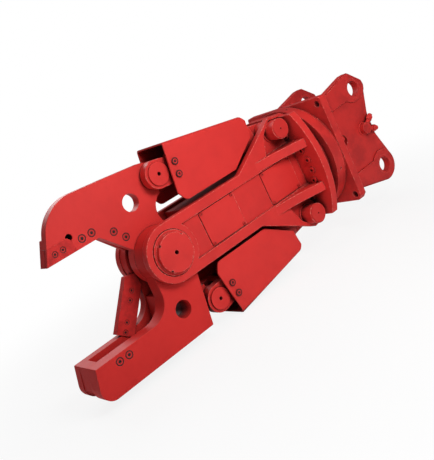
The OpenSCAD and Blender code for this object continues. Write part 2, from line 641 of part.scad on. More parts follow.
module upper_hub_bush() color("goldenrod") tool() difference() {
  ycyl(main_pin_r + hub_bush_t, -jaw_y, jaw_y);
  ycyl(main_pin_r + run_play, -jaw_y - 1, jaw_y + 1);
}
module lug_bush() difference() {
  ycyl(lug_pin_r + lug_play + 7, -jaw_y - lug_pad, jaw_y + lug_pad);
  ycyl(lug_pin_r + lug_play, -fork_in, fork_in);
}
module upper_lug_bush() color("goldenrod") tool() at(lug_x, lug_h) lug_bush();
module lower_lug_bush() color("goldenrod") tool() at(lug_x, -lug_h) lug_bush();

// lower jaw
module cheek(y0, y1) difference() {
  union() {
    ycyl(hub_r, y0, y1);
    slab(y0, y1) polygon(outline([[-lower_reach, -lower_bite_h, 3], [-128, -lower_bite_h, 165],
      [-119, -20, 0], [0, 0, 0], [90, -92, 0], [36, -lower_base_h + 3, 6],
      [-lower_reach - 46, -lower_base_h, 56]]));
  }
  at(-64, -248) ycyl(sight_r, y0 - 1, y1 + 1);
}
floor_t = 50;
module lower_cheek_near() color("firebrick") tool() difference() {
  cheek(near_out, near_in);
  ycyl(main_pin_r + hub_bush_t, near_out - 1, near_in + 1);
  for (x = [-386, -436]) at(x, -lower_bite_h - 32) {
    ycyl(bolt_head_r + head_slit, near_out - 1, near_out + head_h);
    ycyl(10 + run_play, near_out - 1, near_in + 1);
  }
}
// outline of the lower blade, from its front edge
low_dir = unit([-155, -187]);
low_in = [-low_dir[1], low_dir[0]];
function on_low(a, b) = [-168, -20] + a * low_dir + b * low_in;
module low_blade_outline() polygon([on_low(0, 0), on_low(256, 0), on_low(256, low_blade_w),
  on_low(20, low_blade_w), on_low(-26, 45)]);
module low_blade_bolts() for (a = [54, 98, 196, 240]) let (p = on_low(a, low_blade_w / 2 - 2))
  at(p[0], p[1]) children();
module lower_cheek_far() color("firebrick") tool() difference() {
  union() {
    cheek(far_in, half_w);
    ycyl(main_pin_r + hub_bush_t + 22, jaw_y + jaw_gap, far_in);
  }
  slab(far_in - 1, blade_face + low_blade_t) low_blade_outline();
  ycyl(main_pin_r + hub_bush_t, jaw_y, half_w + 1);
  low_blade_bolts() ycyl(8 + run_play, blade_face, half_w - 6);
}
module lower_jaw_blade() color("silver") tool() difference() {
  slab(blade_face, blade_face + low_blade_t) low_blade_outline();
  low_blade_bolts() { ycyl(8 + run_play, blade_face - 1, blade_face + low_blade_t + 1);
    ycyl(12.5, blade_face - 1, blade_face + head_h + 1); }
}
module lower_jaw_bolts() color("dimgray") tool() {
  low_blade_bolts() cap_screw(8, 12, blade_face + 1, half_w - 8);
  for (x = [-386, -436]) at(x, -lower_bite_h - 32) cap_screw(10, bolt_head_r, near_out, near_in - 2);
}
module lower_tooth_block() color("firebrick") tool() slab(near_in, far_in)
  polygon([[-lower_reach, -lower_bite_h], [-lower_reach + 48, -lower_bite_h],
    [-lower_reach + 48, -lower_base_h + floor_t], [-lower_reach - 27, -lower_base_h + floor_t]]);
module lower_jaw_floor() color("firebrick") tool() slab(near_in, far_in) difference() {
  polygon(outline([[-lower_reach - 31, -lower_base_h + floor_t, 0], [-165, -lower_base_h + floor_t, 60],
    [-120, -150, 0], [-84, -150, 0], [-84, -lower_base_h + floor_t, 0], [40, -lower_base_h + floor_t, 0],
    [36, -lower_base_h + 3, 0], [-lower_reach + 22, -lower_base_h, 30]]));
  circle(r = hub_r + 4);
}
module lower_lug_plate() color("firebrick") tool() difference() {
  union() {
    at(lug_x, -lug_h) {
      ycyl(lug_r, -jaw_y, jaw_y);
      ycyl(lug_r - 5, -jaw_y - lug_pad, jaw_y + lug_pad);
    }
    slab(-jaw_y, jaw_y) difference() {
      polygon(outline([[-84, -148, 0], [79, -110, 0], [79, -lug_h + 82, 68], [lug_x - 10, -lug_h + 82, 0],
        [lug_x, -lug_h, 0], [lug_x + 20, -lug_h - 55, 0], [41, -lower_base_h + floor_t, 0],
        [-84, -lower_base_h + floor_t, 0]]));
      circle(r = hub_r + 4);
    }
  }
  at(lug_x, -lug_h) ycyl(lug_pin_r + lug_play + 7, -fork_in, fork_in);
  at(-64, -248) ycyl(sight_r, -jaw_y - 1, jaw_y + 1);
}
module lower_hub_bushes() color("goldenrod") tool() {
  difference() {
    ycyl(main_pin_r + hub_bush_t, near_out, near_in);
    ycyl(main_pin_r + run_play, near_out - 1, near_in + 1);
  }
  difference() {
    ycyl(main_pin_r + hub_bush_t, jaw_y + jaw_gap, half_w);
    ycyl(main_pin_r + run_play, jaw_y, half_w + 1);
  }
}

// cylinders, in their own frame
gland_h = 78;
piston_t = 56;
module barrel_shape() difference() {
  union() {
    xcyl(barrel_r, gland_x + 14, tube_end_x);
    slab(-eye_half_w, eye_half_w) polygon(outline([[tube_end_x - 1, -56, 0], [cyl_len, -eye_r + 2, 0],
      [cyl_len, eye_r - 2, 0], [tube_end_x - 1, 56, 0]]));
    at(cyl_len, 0) ycyl(eye_r, -eye_half_w, eye_half_w);
    for (x = [gland_x + 60, tube_end_x - 30]) translate([x, 0, -barrel_r + 6]) mirror([0, 0, 1])
      cylinder(r = 20, h = 16);
  }
  xcyl(bore_r, gland_x + 13, tube_end_x - 26);
  at(cyl_len, 0) ycyl(rear_pin_r + run_play, -eye_half_w - 1, eye_half_w + 1);
}
module gland_shape() difference() {
  union() { xcyl(barrel_r, gland_x, gland_x + 14); xcyl(bore_r, gland_x + 14, gland_x + gland_h); }
  xcyl(rod_r + run_play, gland_x - 1, gland_x + gland_h + 1);
  for (a = [0:45:315]) rotate([a, 0, 0]) translate([gland_x - 1, -6, barrel_r - 8]) cube([9, 12, 12]);
}
piston_x = tube_end_x - 34 - piston_t;
module rod_shape() {
  xcyl(rod_r, crown_end_x - 20, piston_x);
  xcyl(rod_r * 0.6, piston_x, piston_x + piston_t);
}
module piston_shape() difference() {
  xcyl(bore_r - run_play, piston_x, piston_x + piston_t);
  xcyl(rod_r * 0.6, piston_x - 1, piston_x + piston_t + 1);
  for (x = [10, 24, 38]) translate([piston_x + x, 0, 0]) rotate([0, 90, 0]) difference() {
    cylinder(r = bore_r + 1, h = 6); translate([0, 0, -1]) cylinder(r = bore_r - 5, h = 8);
  }
}
module fork_shape() difference() {
  union() {
    both() {
      ycyl(fork_r, -fork_out, -fork_in);
      slab(-fork_out, -fork_in)
        polygon([[0, -fork_r], [crown_x + 1, -fork_r + 4], [crown_x + 1, fork_r - 4], [0, fork_r]]);
    }
    slab(-guard_in, guard_in) polygon(outline([[crown_x, -52, 0], [crown_end_x - 16, -52, 14],
      [crown_end_x, -38, 14], [crown_end_x, 38, 14], [crown_end_x - 16, 52, 14], [crown_x, 52, 0]]));
  }
  ycyl(lug_pin_r + run_play, -fork_out - 1, fork_out + 1);
  xcyl(rod_r, crown_end_x - 20, crown_end_x + 1);
  for (h = [-29, 29]) both() translate([guard_bolt_x, 0, h])
    ycyl(8 + run_play, -guard_in - 1, -guard_in + 30);
}
module lug_pin_shape() difference() {
  union() {
    ycyl(lug_pin_r, -fork_out, fork_out);
    both() ycyl(lug_pin_r + 20, -fork_out - 9, -fork_out);
  }
  both() ycyl(9, -fork_out - 10, -fork_out + 30);
}
module guard_side() polygon(outline([[48, guard_h, 0], [45, -110, 30], [80, -150, 26], [390, -103, 12],
  [48 + guard_len, 17, 8], [48 + guard_len, guard_h - 26, 8], [22 + guard_len, guard_h, 4]]));
// bent plate: two sides joined by an outer wall with round bends
module guard_shape() difference() {
  rotate([0, guard_slope - cyl_tilt, 0]) intersection() {
    slab(-guard_out, guard_out) guard_side();
    rotate([90, 0, 90]) linear_extrude(48 + guard_len + 10) difference() {
      polygon(outline([[-guard_out, -160, 0], [guard_out, -160, 0], [guard_out, guard_h, 16],
        [-guard_out, guard_h, 16]]));
      polygon(outline([[-guard_in, -161, 0], [guard_in, -161, 0], [guard_in, guard_h - guard_t, 9],
        [-guard_in, guard_h - guard_t, 9]]));
    }
  }
  for (h = [-29, 29]) both() translate([guard_bolt_x, 0, h]) {
    ycyl(8 + run_play, -guard_out - 1, -guard_in + 1);
  }
}
module guard_bolts_shape() for (h = [-29, 29]) both() translate([guard_bolt_x, 0, h]) difference() {
  union() { ycyl(8, -guard_out, -guard_in + 26); ycyl(13, -guard_out - 7, -guard_out); }
  translate([0, -guard_out - 8, 0]) rotate([-90, 0, 0]) cylinder(r = 6.5, h = 6, $fn = 6);
}
module upper_barrel() color("firebrick") tool() cyl_frame(1) barrel_shape();
module upper_gland() color("dimgray") tool() cyl_frame(1) gland_shape();
module upper_rod() color("silver") tool() cyl_frame(1) rod_shape();
module upper_piston() color("silver") tool() cyl_frame(1) piston_shape();
module upper_fork() color("firebrick") tool() cyl_frame(1) fork_shape();
module upper_lug_pin() color("indianred") tool() cyl_frame(1) lug_pin_shape();
module upper_guard() color("firebrick") tool() cyl_frame(1) guard_shape();
module upper_guard_bolts() color("dimgray") tool() cyl_frame(1) guard_bolts_shape();
module lower_barrel() color("firebrick") tool() cyl_frame(-1) barrel_shape();
module lower_gland() color("dimgray") tool() cyl_frame(-1) gland_shape();
module lower_rod() color("silver") tool() cyl_frame(-1) rod_shape();
module lower_piston() color("silver") tool() cyl_frame(-1) piston_shape();
module lower_fork() color("firebrick") tool() cyl_frame(-1) fork_shape();
module lower_lug_pin() color("indianred") tool() cyl_frame(-1) lug_pin_shape();
module lower_guard() color("firebrick") tool() cyl_frame(-1) guard_shape();
module lower_guard_bolts() color("dimgray") tool() cyl_frame(-1) guard_bolts_shape();

bracket_base_plate();
ear_near();
ear_far();
ear_collars();
ear_bushes();
bracket_cross_plate();
slew_outer_ring();
ring_screws();
swivel_stem();
slew_motor();
slew_pinion();
hose_port_blocks();
hose_adapters();
slew_inner_ring();
ring_balls();
neck_ring();
end_plate();
end_plate_bolts();
side_plate_near();
side_plate_far();
centre_box();
side_covers();
cover_screws();
swivel_housing();
valve_block();
main_pin();
main_pin_caps();
rear_pins();
upper_jaw_plate();
upper_jaw_tip();
upper_jaw_blades();
upper_jaw_bolts();
upper_hub_bush();
upper_lug_bush();
lower_cheek_near();
lower_cheek_far();
lower_tooth_block();
lower_jaw_floor();
lower_lug_plate();
lower_jaw_blade();
lower_jaw_bolts();
lower_hub_bushes();
lower_lug_bush();
upper_barrel();
upper_gland();
upper_rod();
upper_piston();
upper_fork();
upper_lug_pin();
upper_guard();
upper_guard_bolts();
lower_barrel();
lower_gland();
lower_rod();
lower_piston();
lower_fork();
lower_lug_pin();
lower_guard();
lower_guard_bolts();
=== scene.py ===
import json
import math

import bmesh
import bpy
import numpy as np
from mathutils import Matrix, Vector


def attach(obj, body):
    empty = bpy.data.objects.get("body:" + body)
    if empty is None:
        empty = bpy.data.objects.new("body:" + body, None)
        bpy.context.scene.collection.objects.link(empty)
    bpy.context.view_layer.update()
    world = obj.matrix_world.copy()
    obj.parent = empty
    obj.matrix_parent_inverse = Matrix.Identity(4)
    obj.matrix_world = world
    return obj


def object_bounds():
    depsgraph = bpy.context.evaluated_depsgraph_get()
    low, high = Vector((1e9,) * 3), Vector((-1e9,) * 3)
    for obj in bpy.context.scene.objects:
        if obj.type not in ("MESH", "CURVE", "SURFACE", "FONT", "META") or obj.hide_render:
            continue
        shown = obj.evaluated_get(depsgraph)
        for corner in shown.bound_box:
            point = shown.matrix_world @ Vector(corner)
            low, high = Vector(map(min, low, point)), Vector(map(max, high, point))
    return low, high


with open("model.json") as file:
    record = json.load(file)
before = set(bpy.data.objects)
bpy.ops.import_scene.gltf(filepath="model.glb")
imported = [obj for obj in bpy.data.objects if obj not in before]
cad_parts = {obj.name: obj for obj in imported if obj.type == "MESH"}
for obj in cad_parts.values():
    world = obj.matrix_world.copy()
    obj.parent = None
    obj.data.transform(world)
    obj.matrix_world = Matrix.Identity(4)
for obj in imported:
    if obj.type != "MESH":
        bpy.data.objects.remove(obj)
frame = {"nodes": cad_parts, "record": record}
cad_box = [list(corner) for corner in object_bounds()]
nodes = frame["nodes"]

# Centre of the main pin in the row frame, in metres. The weld seams are placed from it, and
# the tool turns around the line through it along X.
MAIN_PIN = np.array([-1.362, 0.0, -0.211])


def placed(right, up, back, place):
    """Matrix of a camera or lamp that looks along -back, from its three axes and its place."""
    matrix = np.eye(4)
    matrix[:3, 0], matrix[:3, 1], matrix[:3, 2], matrix[:3, 3] = right, up, back, place
    return Matrix(matrix.tolist())


# ---------------------------------------------------------------- camera
def make_camera():
    """Camera at the photograph's viewing angle: a place, three axes and a lens."""
    data = bpy.data.cameras.new("camera")
    data.lens = 54.765
    data.sensor_width = 36.0
    data.clip_start, data.clip_end = 0.05, 60.0
    camera = bpy.data.objects.new("camera", data)
    bpy.context.scene.collection.objects.link(camera)
    right = np.array([0.70103475, -0.57179279, -0.42614938])
    up = np.array([0.47587234, -0.06997852, 0.87672603])
    back = np.array([-0.53112692, -0.81740811, 0.223043])
    camera.matrix_world = placed(right, up, back, [-2.79106905, -2.72960503, 0.46917432])
    bpy.context.scene.camera = camera


# ---------------------------------------------------------------- shader maths
class Signal:
    """A shader socket that can be used in plain arithmetic."""

    def __init__(self, finish, socket):
        self.finish, self.socket = finish, socket

    def _math(self, operation, *operands):
        values = dict(enumerate(operands))
        return self.finish.add("ShaderNodeMath", {"operation": operation}, values)

    def __add__(self, other):
        return self._math("ADD", self, other)

    def __sub__(self, other):
        return self._math("SUBTRACT", self, other)

    def __rsub__(self, other):
        return self._math("SUBTRACT", other, self)

    def __mul__(self, other):
        return self._math("MULTIPLY", self, other)

    __radd__, __rmul__ = __add__, __mul__

    def over(self, low, high):
        """0 at low, 1 at high, and smooth between them."""
        return self.finish.add(
            "ShaderNodeMapRange",
            {"interpolation_type": "SMOOTHSTEP"},
            {"Value": self, "From Min": low, "From Max": high, "To Min": 0.0, "To Max": 1.0},
        )


class Finish:
    """A material whose nodes are added one call at a time."""

    def __init__(self, name, **constants):
        self.material = bpy.data.materials.new(name)
        self.material.use_nodes = True
        self.tree = self.material.node_tree
        self.tree.nodes.clear()
        self.shader = self.tree.nodes.new("ShaderNodeBsdfPrincipled")
        self.output = self.tree.nodes.new("ShaderNodeOutputMaterial")
        self.tree.links.new(self.shader.outputs[0], self.output.inputs[0])
        for socket, value in constants.items():
            self.shader.inputs[socket.replace("_", " ")].default_value = value
        self.place = self.add("ShaderNodeTexCoord", out="Object")

    def add(self, kind, settings=None, values=None, out=0):
        """Adds a node: its settings first, then the values or links of its sockets."""
        node = self.tree.nodes.new(kind)
        for setting, value in (settings or {}).items():
            setattr(node, setting, value)
        for socket, value in (values or {}).items():
            if isinstance(value, Signal):
                self.tree.links.new(value.socket, node.inputs[socket])
            else:
                node.inputs[socket].default_value = value
        return Signal(self, node.outputs[out])

    def feed(self, **links):
        for socket, signal in links.items():
            self.tree.links.new(signal.socket, self.shader.inputs[socket.replace("_", " ")])
        return self.material

    def noise(self, scale, detail=3.0, rough=0.55, stretch=None):
        """Cloudy noise from 0 to 1; scale is in lumps per metre."""
        place = self.place
        if stretch is not None:
            place = self.add("ShaderNodeMapping", {}, {"Vector": place, "Scale": stretch})
        return self.add(
            "ShaderNodeTexNoise",
            {"noise_dimensions": "3D"},
            {"Vector": place, "Scale": scale, "Detail": detail, "Roughness": rough},
        )

    def mix(self, share, first, second):
        """first at 0 and second at 1, as colours."""
        values = {0: share, 6: first, 7: second}
        return self.add("ShaderNodeMix", {"data_type": "RGBA", "clamp_factor": True}, values, out=2)

    def soft_edge(self, radius):
        """The surface's direction with its edges rounded by radius."""
        return self.add("ShaderNodeBevel", {"samples": 6}, {"Radius": radius})

    def edges(self, rounded):
        """How far the rounded direction leans from the flat one: high along edges."""
        plain = self.add("ShaderNodeNewGeometry", out="Normal")
        values = {0: rounded, 1: plain}
        dot = self.add("ShaderNodeVectorMath", {"operation": "DOT_PRODUCT"}, values, out="Value")
        return 1.0 - dot

    def shelter(self, distance):
        """1 in the open and towards 0 in corners and gaps."""
        return self.add("ShaderNodeAmbientOcclusion", {"samples": 6}, {"Distance": distance}, out="AO")

    def bump(self, height, distance, strength, under=None):
        values = {"Height": height, "Distance": distance, "Strength": strength}
        if under is not None:
            values["Normal"] = under
        return self.add("ShaderNodeBump", {}, values)


def red_paint(name, tone=1.0, scuffs_and_sheen=0.25, ripple=0.35, edge=0.0035, gloss=0.42, glint_specks=0.0,
              groove=0.012, grime=0.0, shine=0.3):
    """Thick red machine paint: a slow change of shade, orange peel as deep as ripple, edges
    rounded by edge and made paler by scuffs, partly as wear and partly as a painted highlight,
    painted glints along the edges where specks is set, handling grime in clouds where grime is
    set, and painted shade, near black, in corners, gaps and in slits as wide as groove. gloss
    is its roughness, and shine how strongly it mirrors."""
    finish = Finish(name, IOR=1.42, Specular_IOR_Level=shine, Coat_Weight=0.1 * shine,
                    Coat_Roughness=0.3)
    cloud = finish.noise(3.2, 3.0)
    blotch = finish.noise(17.0, 4.0, 0.6)
    grain = finish.noise(240.0, 2.0)
    rounded = finish.soft_edge(edge)
    rim = finish.edges(rounded).over(0.015, 0.16)
    # corner, slit and deep_gap: painted shade from ambient occlusion, darkening corners, gaps and slits
    # towards near black
    corner = (1.0 - finish.shelter(0.06)).over(0.34, 0.90)
    slit = (1.0 - finish.shelter(groove)).over(0.40, 0.74)
    deep_gap = (1.0 - finish.shelter(0.25)).over(0.72, 0.96)
    red = [0.775 * tone, 0.038 * tone, 0.033 * tone, 1.0]
    deep = [0.66 * tone, 0.031 * tone, 0.028 * tone, 1.0]
    pale = [0.92, 0.085, 0.068, 1.0]
    glint_colour = [0.97, 0.36, 0.30, 1.0]
    handled = [0.30, 0.016, 0.016, 1.0]
    # soot and black: the near-black colours of that painted shade
    gap_shade = [0.030, 0.004, 0.004, 1.0]
    black = [0.006, 0.002, 0.002, 1.0]
    shade = finish.mix(cloud.over(0.25, 0.75) * 0.7 + blotch.over(0.4, 0.8) * 0.3, red, deep)
    if grime:
        stain = finish.noise(6.5, 5.0, 0.68).over(0.42, 0.66) * grime + 0.35 * grime
        shade = finish.mix(stain, shade, handled)
    # Edges made paler by pale: partly paint worn thin, partly a painted highlight along the edges
    worn_and_sheened = finish.mix(rim * (0.35 + 0.65 * blotch.over(0.35, 0.62)) * (0.45 + scuffs_and_sheen), shade, pale)
    # Whitish specks along the edges: painted highlights, glints on the edges
    if glint_specks:
        bright = rim * finish.noise(90.0, 4.0, 0.7).over(0.48, 0.60) * glint_specks
        worn_and_sheened = finish.mix(bright, worn_and_sheened, glint_colour)
    colour = finish.mix(slit, finish.mix(corner * 0.86 + deep_gap, worn_and_sheened, gap_shade), black)
    rough = gloss + 0.16 * blotch + 0.25 * corner
    height = 0.6 * finish.noise(70.0, 2.0) + 0.4 * grain
    normal = finish.bump(height, 0.0006, ripple, rounded)
    return finish.feed(Base_Color=colour, Roughness=rough, Normal=normal)


def shear_paint(name):
    """Paint over hardened steel: scratched thin, with steel along the cutting edges."""
    finish = Finish(name, IOR=1.42, Specular_IOR_Level=0.3)
    rounded = finish.soft_edge(0.0022)
    rim = finish.edges(rounded).over(0.02, 0.14)
    streak = finish.noise(26.0, 4.0, 0.6, stretch=[1.0, 5.0, 1.0])
    blotch = finish.noise(32.0, 4.0, 0.65)
    corner = (1.0 - finish.shelter(0.06)).over(0.25, 0.95)
    red = [0.70, 0.030, 0.027, 1.0]
    deep = [0.50, 0.022, 0.021, 1.0]
    steel = [0.46, 0.40, 0.39, 1.0]
    shade = finish.mix(streak.over(0.35, 0.7), red, deep)
    bare = rim * blotch.over(0.52, 0.66) * 0.6
    # corner: painted shade from ambient occlusion, darkening the corners to near black
    colour = finish.mix(corner * 0.8, finish.mix(bare, shade, steel), [0.09, 0.011, 0.012, 1.0])
    normal = finish.bump(streak + 0.5 * blotch, 0.0006, 0.4, rounded)
    rough = 0.52 + 0.2 * blotch
    return finish.feed(Base_Color=colour, Roughness=rough, Metallic=bare * 0.9, Normal=normal)


def bare_metal(name, colour, rough, turned=True, metal=1.0):
    """Machined metal: fine turning lines, oil film and painted shade, near black, in the corners."""
    finish = Finish(name)
    rounded = finish.soft_edge(0.0015)
    rim = finish.edges(rounded).over(0.02, 0.14)
    lines = finish.noise(60.0, 3.0, 0.5, stretch=[1.0, 22.0, 1.0] if turned else [9.0, 1.0, 1.0])
    blotch = finish.noise(14.0, 4.0, 0.6)
    corner = (1.0 - finish.shelter(0.05)).over(0.3, 0.95)
    low = [c * 0.72 for c in colour] + [1.0]
    high = list(colour) + [1.0]
    bright = [min(1.0, c * 1.25 + 0.05) for c in colour] + [1.0]
    base = finish.mix(blotch.over(0.3, 0.75), high, low)
    base = finish.mix(rim * 0.6, base, bright)
    # corner: painted shade from ambient occlusion in the corners
    base = finish.mix(corner * 0.7, base, [0.05, 0.035, 0.03, 1.0])
    normal = finish.bump(lines, 0.0003, 0.35, rounded)
    finish.shader.inputs["Metallic"].default_value = metal
    return finish.feed(Base_Color=base, Roughness=rough + 0.15 * blotch, Normal=normal)


def painted_shadow_black(name):
    """Near-black material of painted shade, for deep sockets and oil holes and the rings around bolt heads,
    with a matt oily film.
    """
    finish = Finish(name, IOR=1.45)
    blotch = finish.noise(60.0, 3.0)
    colour = finish.mix(blotch.over(0.3, 0.7), [0.006, 0.005, 0.005, 1.0], [0.02, 0.012, 0.012, 1.0])
    normal = finish.bump(blotch, 0.0003, 0.3)
    return finish.feed(Base_Color=colour, Roughness=0.55 + 0.2 * blotch, Normal=normal)


def ring_finish(name):
    """The inner slewing ring: oiled machined steel on the race and gear, and red paint
    on the front face and rim, outside paint_edge around the turning axis."""
    paint_edge, fade = 0.225, 0.002
    finish = Finish(name)
    values = {"Vector": finish.place, "Location": [0.0, 0.0, -MAIN_PIN[2]], "Scale": [0.0, 1.0, 1.0]}
    flat = finish.add("ShaderNodeMapping", {}, values)
    radius = finish.add("ShaderNodeVectorMath", {"operation": "LENGTH"}, {0: flat}, out="Value")
    painted = radius.over(paint_edge - fade, paint_edge + fade)
    blotch = finish.noise(20.0, 4.0, 0.6)
    corner = (1.0 - finish.shelter(0.06)).over(0.3, 0.9)
    steel = finish.mix(blotch.over(0.3, 0.7), [0.50, 0.50, 0.51, 1.0], [0.34, 0.33, 0.33, 1.0])
    red = finish.mix(blotch.over(0.3, 0.7), [0.60, 0.028, 0.025, 1.0], [0.45, 0.022, 0.020, 1.0])
    # corner: painted shade, near black, from ambient occlusion in the corners
    colour = finish.mix(corner * 0.9, finish.mix(painted, steel, red), [0.012, 0.004, 0.004, 1.0])
    normal = finish.bump(finish.noise(80.0, 3.0), 0.0003, 0.4, finish.soft_edge(0.0015))
    rough = 0.34 + 0.2 * blotch
    return finish.feed(Base_Color=colour, Roughness=rough, Metallic=1.0 - painted, Normal=normal)


def dress(node, material):
    mesh = nodes[node].data
    mesh.materials.clear()
    mesh.materials.append(material)


def dress_all():
    """Every CAD node in its slot's material, and then the nodes that look different."""
    paint = red_paint("red_paint")
    plate = red_paint("plate_paint", ripple=0.28)
    cast = red_paint("cast_paint", tone=0.98, ripple=0.8, edge=0.0065, gloss=0.4, glint_specks=1.0,
                     grime=0.10)
    bracket = red_paint("bracket_paint", tone=0.96, ripple=0.6, edge=0.0045, glint_specks=0.6,
                        grime=0.36)
    # Lower jaw: less shine, and tone 0.91 as painted shade, a darker copy of the same red paint
    dull_shaded_jaw = red_paint("lower_jaw_shaded_paint", tone=0.91, ripple=0.28, shine=0.14)
    small = red_paint("screw_paint", tone=0.86, scuffs_and_sheen=0.5, edge=0.0012)
    # Bolt heads: a wider groove, so the painted shade of slits reaches the ring around each head and its
    # socket
    heads = red_paint("bolt_head_paint", tone=0.80, scuffs_and_sheen=0.4, edge=0.0010, groove=0.022)
    finishes = {
        "red paint": paint,
        "painted blades": shear_paint("blade_paint"),
        "painted fasteners": small,
        "bare steel": bare_metal("bare_steel", [0.52, 0.52, 0.53], 0.30),
        "dark steel": bare_metal("dark_casting", [0.07, 0.07, 0.075], 0.5, turned=False, metal=0.4),
        "chrome rods": bare_metal("rod_chrome", [0.78, 0.78, 0.80], 0.12, turned=False),
        "bronze": bare_metal("bush_bronze", [0.60, 0.40, 0.17], 0.32),
    }
    for row in frame["record"]["subparts"]:
        dress(row["node"], finishes[row["material_slot"]])
    own_look = (
        (plate, ("upper_jaw_plate", "upper_guard", "lower_guard")),
        (cast, ("side_plate_near", "side_plate_far", "end_plate", "upper_barrel", "lower_barrel",
                "upper_fork", "lower_fork", "main_pin_caps")),
        (bracket, ("ear_near", "ear_far", "ear_collars", "bracket_base_plate",
                   "bracket_cross_plate", "slew_outer_ring", "hose_port_blocks")),
        (dull_shaded_jaw, ("lower_cheek_near", "lower_cheek_far", "lower_tooth_block", "lower_jaw_floor")),
        # pins, bushes and the neck, which the real tool has painted over
        (small, ("main_pin", "rear_pins", "ear_bushes", "neck_ring")),
        (heads, ("upper_jaw_bolts", "lower_jaw_bolts", "upper_guard_bolts", "lower_guard_bolts",
                 "end_plate_bolts", "cover_screws")),
        (ring_finish("ring_paint_and_steel"), ("slew_inner_ring",)),
    )
    for finish, names in own_look:
        for node in names:
            dress(node, finish)
    return finishes


# ---------------------------------------------------------------- small pieces
def from_tool(x, y, z):
    """A point measured in millimetres from the main pin, in the row frame in metres."""
    return MAIN_PIN + np.array([x, y, z], float) / 1000.0


def sheet_mesh(name, sheets, material, body):
    """One piece from grids of points, rows along a path and columns around it. The columns
    close on themselves. Where a sheet is open, its first and last rows are filled; where it
    is closed, the last row lies on the first and they are merged."""
    points, faces, used = [], [], 0
    for grid, closed in sheets:
        rows, columns = grid.shape[:2]
        index = used + np.arange(rows * columns).reshape(rows, columns)
        after = np.roll(index, -1, axis=1)
        quads = np.stack([index[:-1], after[:-1], after[1:], index[1:]], axis=-1).reshape(-1, 4)
        faces += quads.tolist()
        if not closed:
            faces += [index[0][::-1].tolist(), index[-1].tolist()]
        points.append(grid.reshape(-1, 3))
        used += rows * columns
    mesh = bpy.data.meshes.new(name)
    mesh.from_pydata(np.concatenate(points).tolist(), [], faces)
    mesh.materials.append(material)
    piece = bpy.data.objects.new(name, mesh)
    bpy.context.scene.collection.objects.link(piece)
    outwards(mesh)
    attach(piece, body)


def outwards(mesh):
    """Merges points that lie on each other, turns every closed shell of the mesh so that its
    faces point out, and smooths it."""
    work = bmesh.new()
    work.from_mesh(mesh)
    bmesh.ops.remove_doubles(work, verts=work.verts, dist=1e-6)
    bmesh.ops.recalc_face_normals(work, faces=work.faces)
    work.to_mesh(mesh)
    work.free()
    mesh.polygons.foreach_set("use_smooth", np.ones(len(mesh.polygons), bool))


def bead_grid(points, along_a, along_b, leg, closed=False, pitch=0.006):
    """Weld bead in an inside corner. At distance s along the seam the bead's legs are
    leg * (0.86 + 0.14 * |sin(pi * s / pitch)|); the section is an arc between the two legs,
    pushed out a little in its middle, and a root sunk 0.3 mm into the corner."""
    points = np.asarray(points, float)
    a = np.broadcast_to(np.asarray(along_a, float), points.shape)
    b = np.broadcast_to(np.asarray(along_b, float), points.shape)
    steps = np.linalg.norm(np.diff(points, axis=0), axis=1)
    s = np.concatenate([[0.0], np.cumsum(steps)])
    size = leg * (0.86 + 0.14 * np.abs(np.sin(np.pi * s / pitch)))
    if not closed:
        size = size * np.clip(np.minimum(s, s[-1] - s) / leg * 0.6 + 0.45, 0, 1)
    phi = np.linspace(0, np.pi / 2, 7)
    bulge = 0.80 + 0.10 * np.sin(2 * phi) - 0.02 * np.cos(4 * phi)
    bulge = bulge / bulge[0]
    ca, cb = (np.cos(phi) * bulge)[None, :, None], (np.sin(phi) * bulge)[None, :, None]
    arc = points[:, None] + size[:, None, None] * (ca * a[:, None] + cb * b[:, None])
    arc = arc - 0.0003 * (a + b)[:, None]
    root = points[:, None] - 0.0003 * (a + b)[:, None]
    return np.concatenate([root, arc], axis=1)


def line(start, end, step=0.0015):
    """Points from start to end, about step apart: start + (end - start) * t."""
    start, end = np.asarray(start, float), np.asarray(end, float)
    count = max(4, int(np.linalg.norm(end - start) / step))
    t = np.linspace(0, 1, count)[:, None]
    return start + (end - start) * t


def ring_path(centre, radius, axis, first=0.0, last=360.0, step=0.0015):
    """Points and outward directions of an arc around an axis, angles from +Z towards -X or +Y."""
    turn = math.radians(last - first)
    count = max(24, int(radius * abs(turn) / step))
    t = np.radians(first) + turn * np.linspace(0, 1, count)
    if axis == "y":
        out = np.stack([-np.sin(t), 0 * t, np.cos(t)], axis=1)
    else:
        out = np.stack([0 * t, np.sin(t), np.cos(t)], axis=1)
    return np.asarray(centre, float) + radius * out, out


